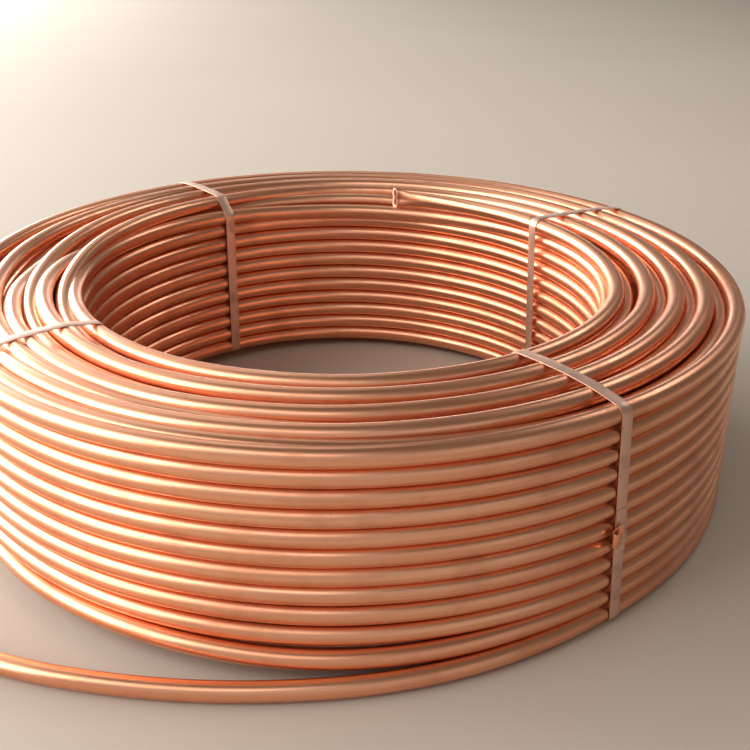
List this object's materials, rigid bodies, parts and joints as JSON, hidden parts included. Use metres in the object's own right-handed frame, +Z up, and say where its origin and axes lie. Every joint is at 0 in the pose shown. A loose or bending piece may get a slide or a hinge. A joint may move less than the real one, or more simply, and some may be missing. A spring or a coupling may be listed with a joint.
{
  "type": "copper tube coil",
  "caption": "Level-wound coil of round copper tube with an open eye, tied by flat copper straps, with one loose tube end along the floor.",
  "frame": {"origin": "on the coil's axis, at the floor it lies on", "axes": "+Z up along the coil's axis; -Y towards the side that the loose tube end passes; +X to the right from there"},
  "size_m": [0.9115, 0.919, 0.237],
  "materials": {
    "copper_tube": "bright drawn",
    "copper_strap": "flat rolled"
  },
  "bodies": {
    "root": {"tube_coil": "copper_tube", "strap_front_right": "copper_strap", "strap_back_right": "copper_strap", "strap_back_left": "copper_strap", "strap_left": "copper_strap"}
  },
  "joints": []
}
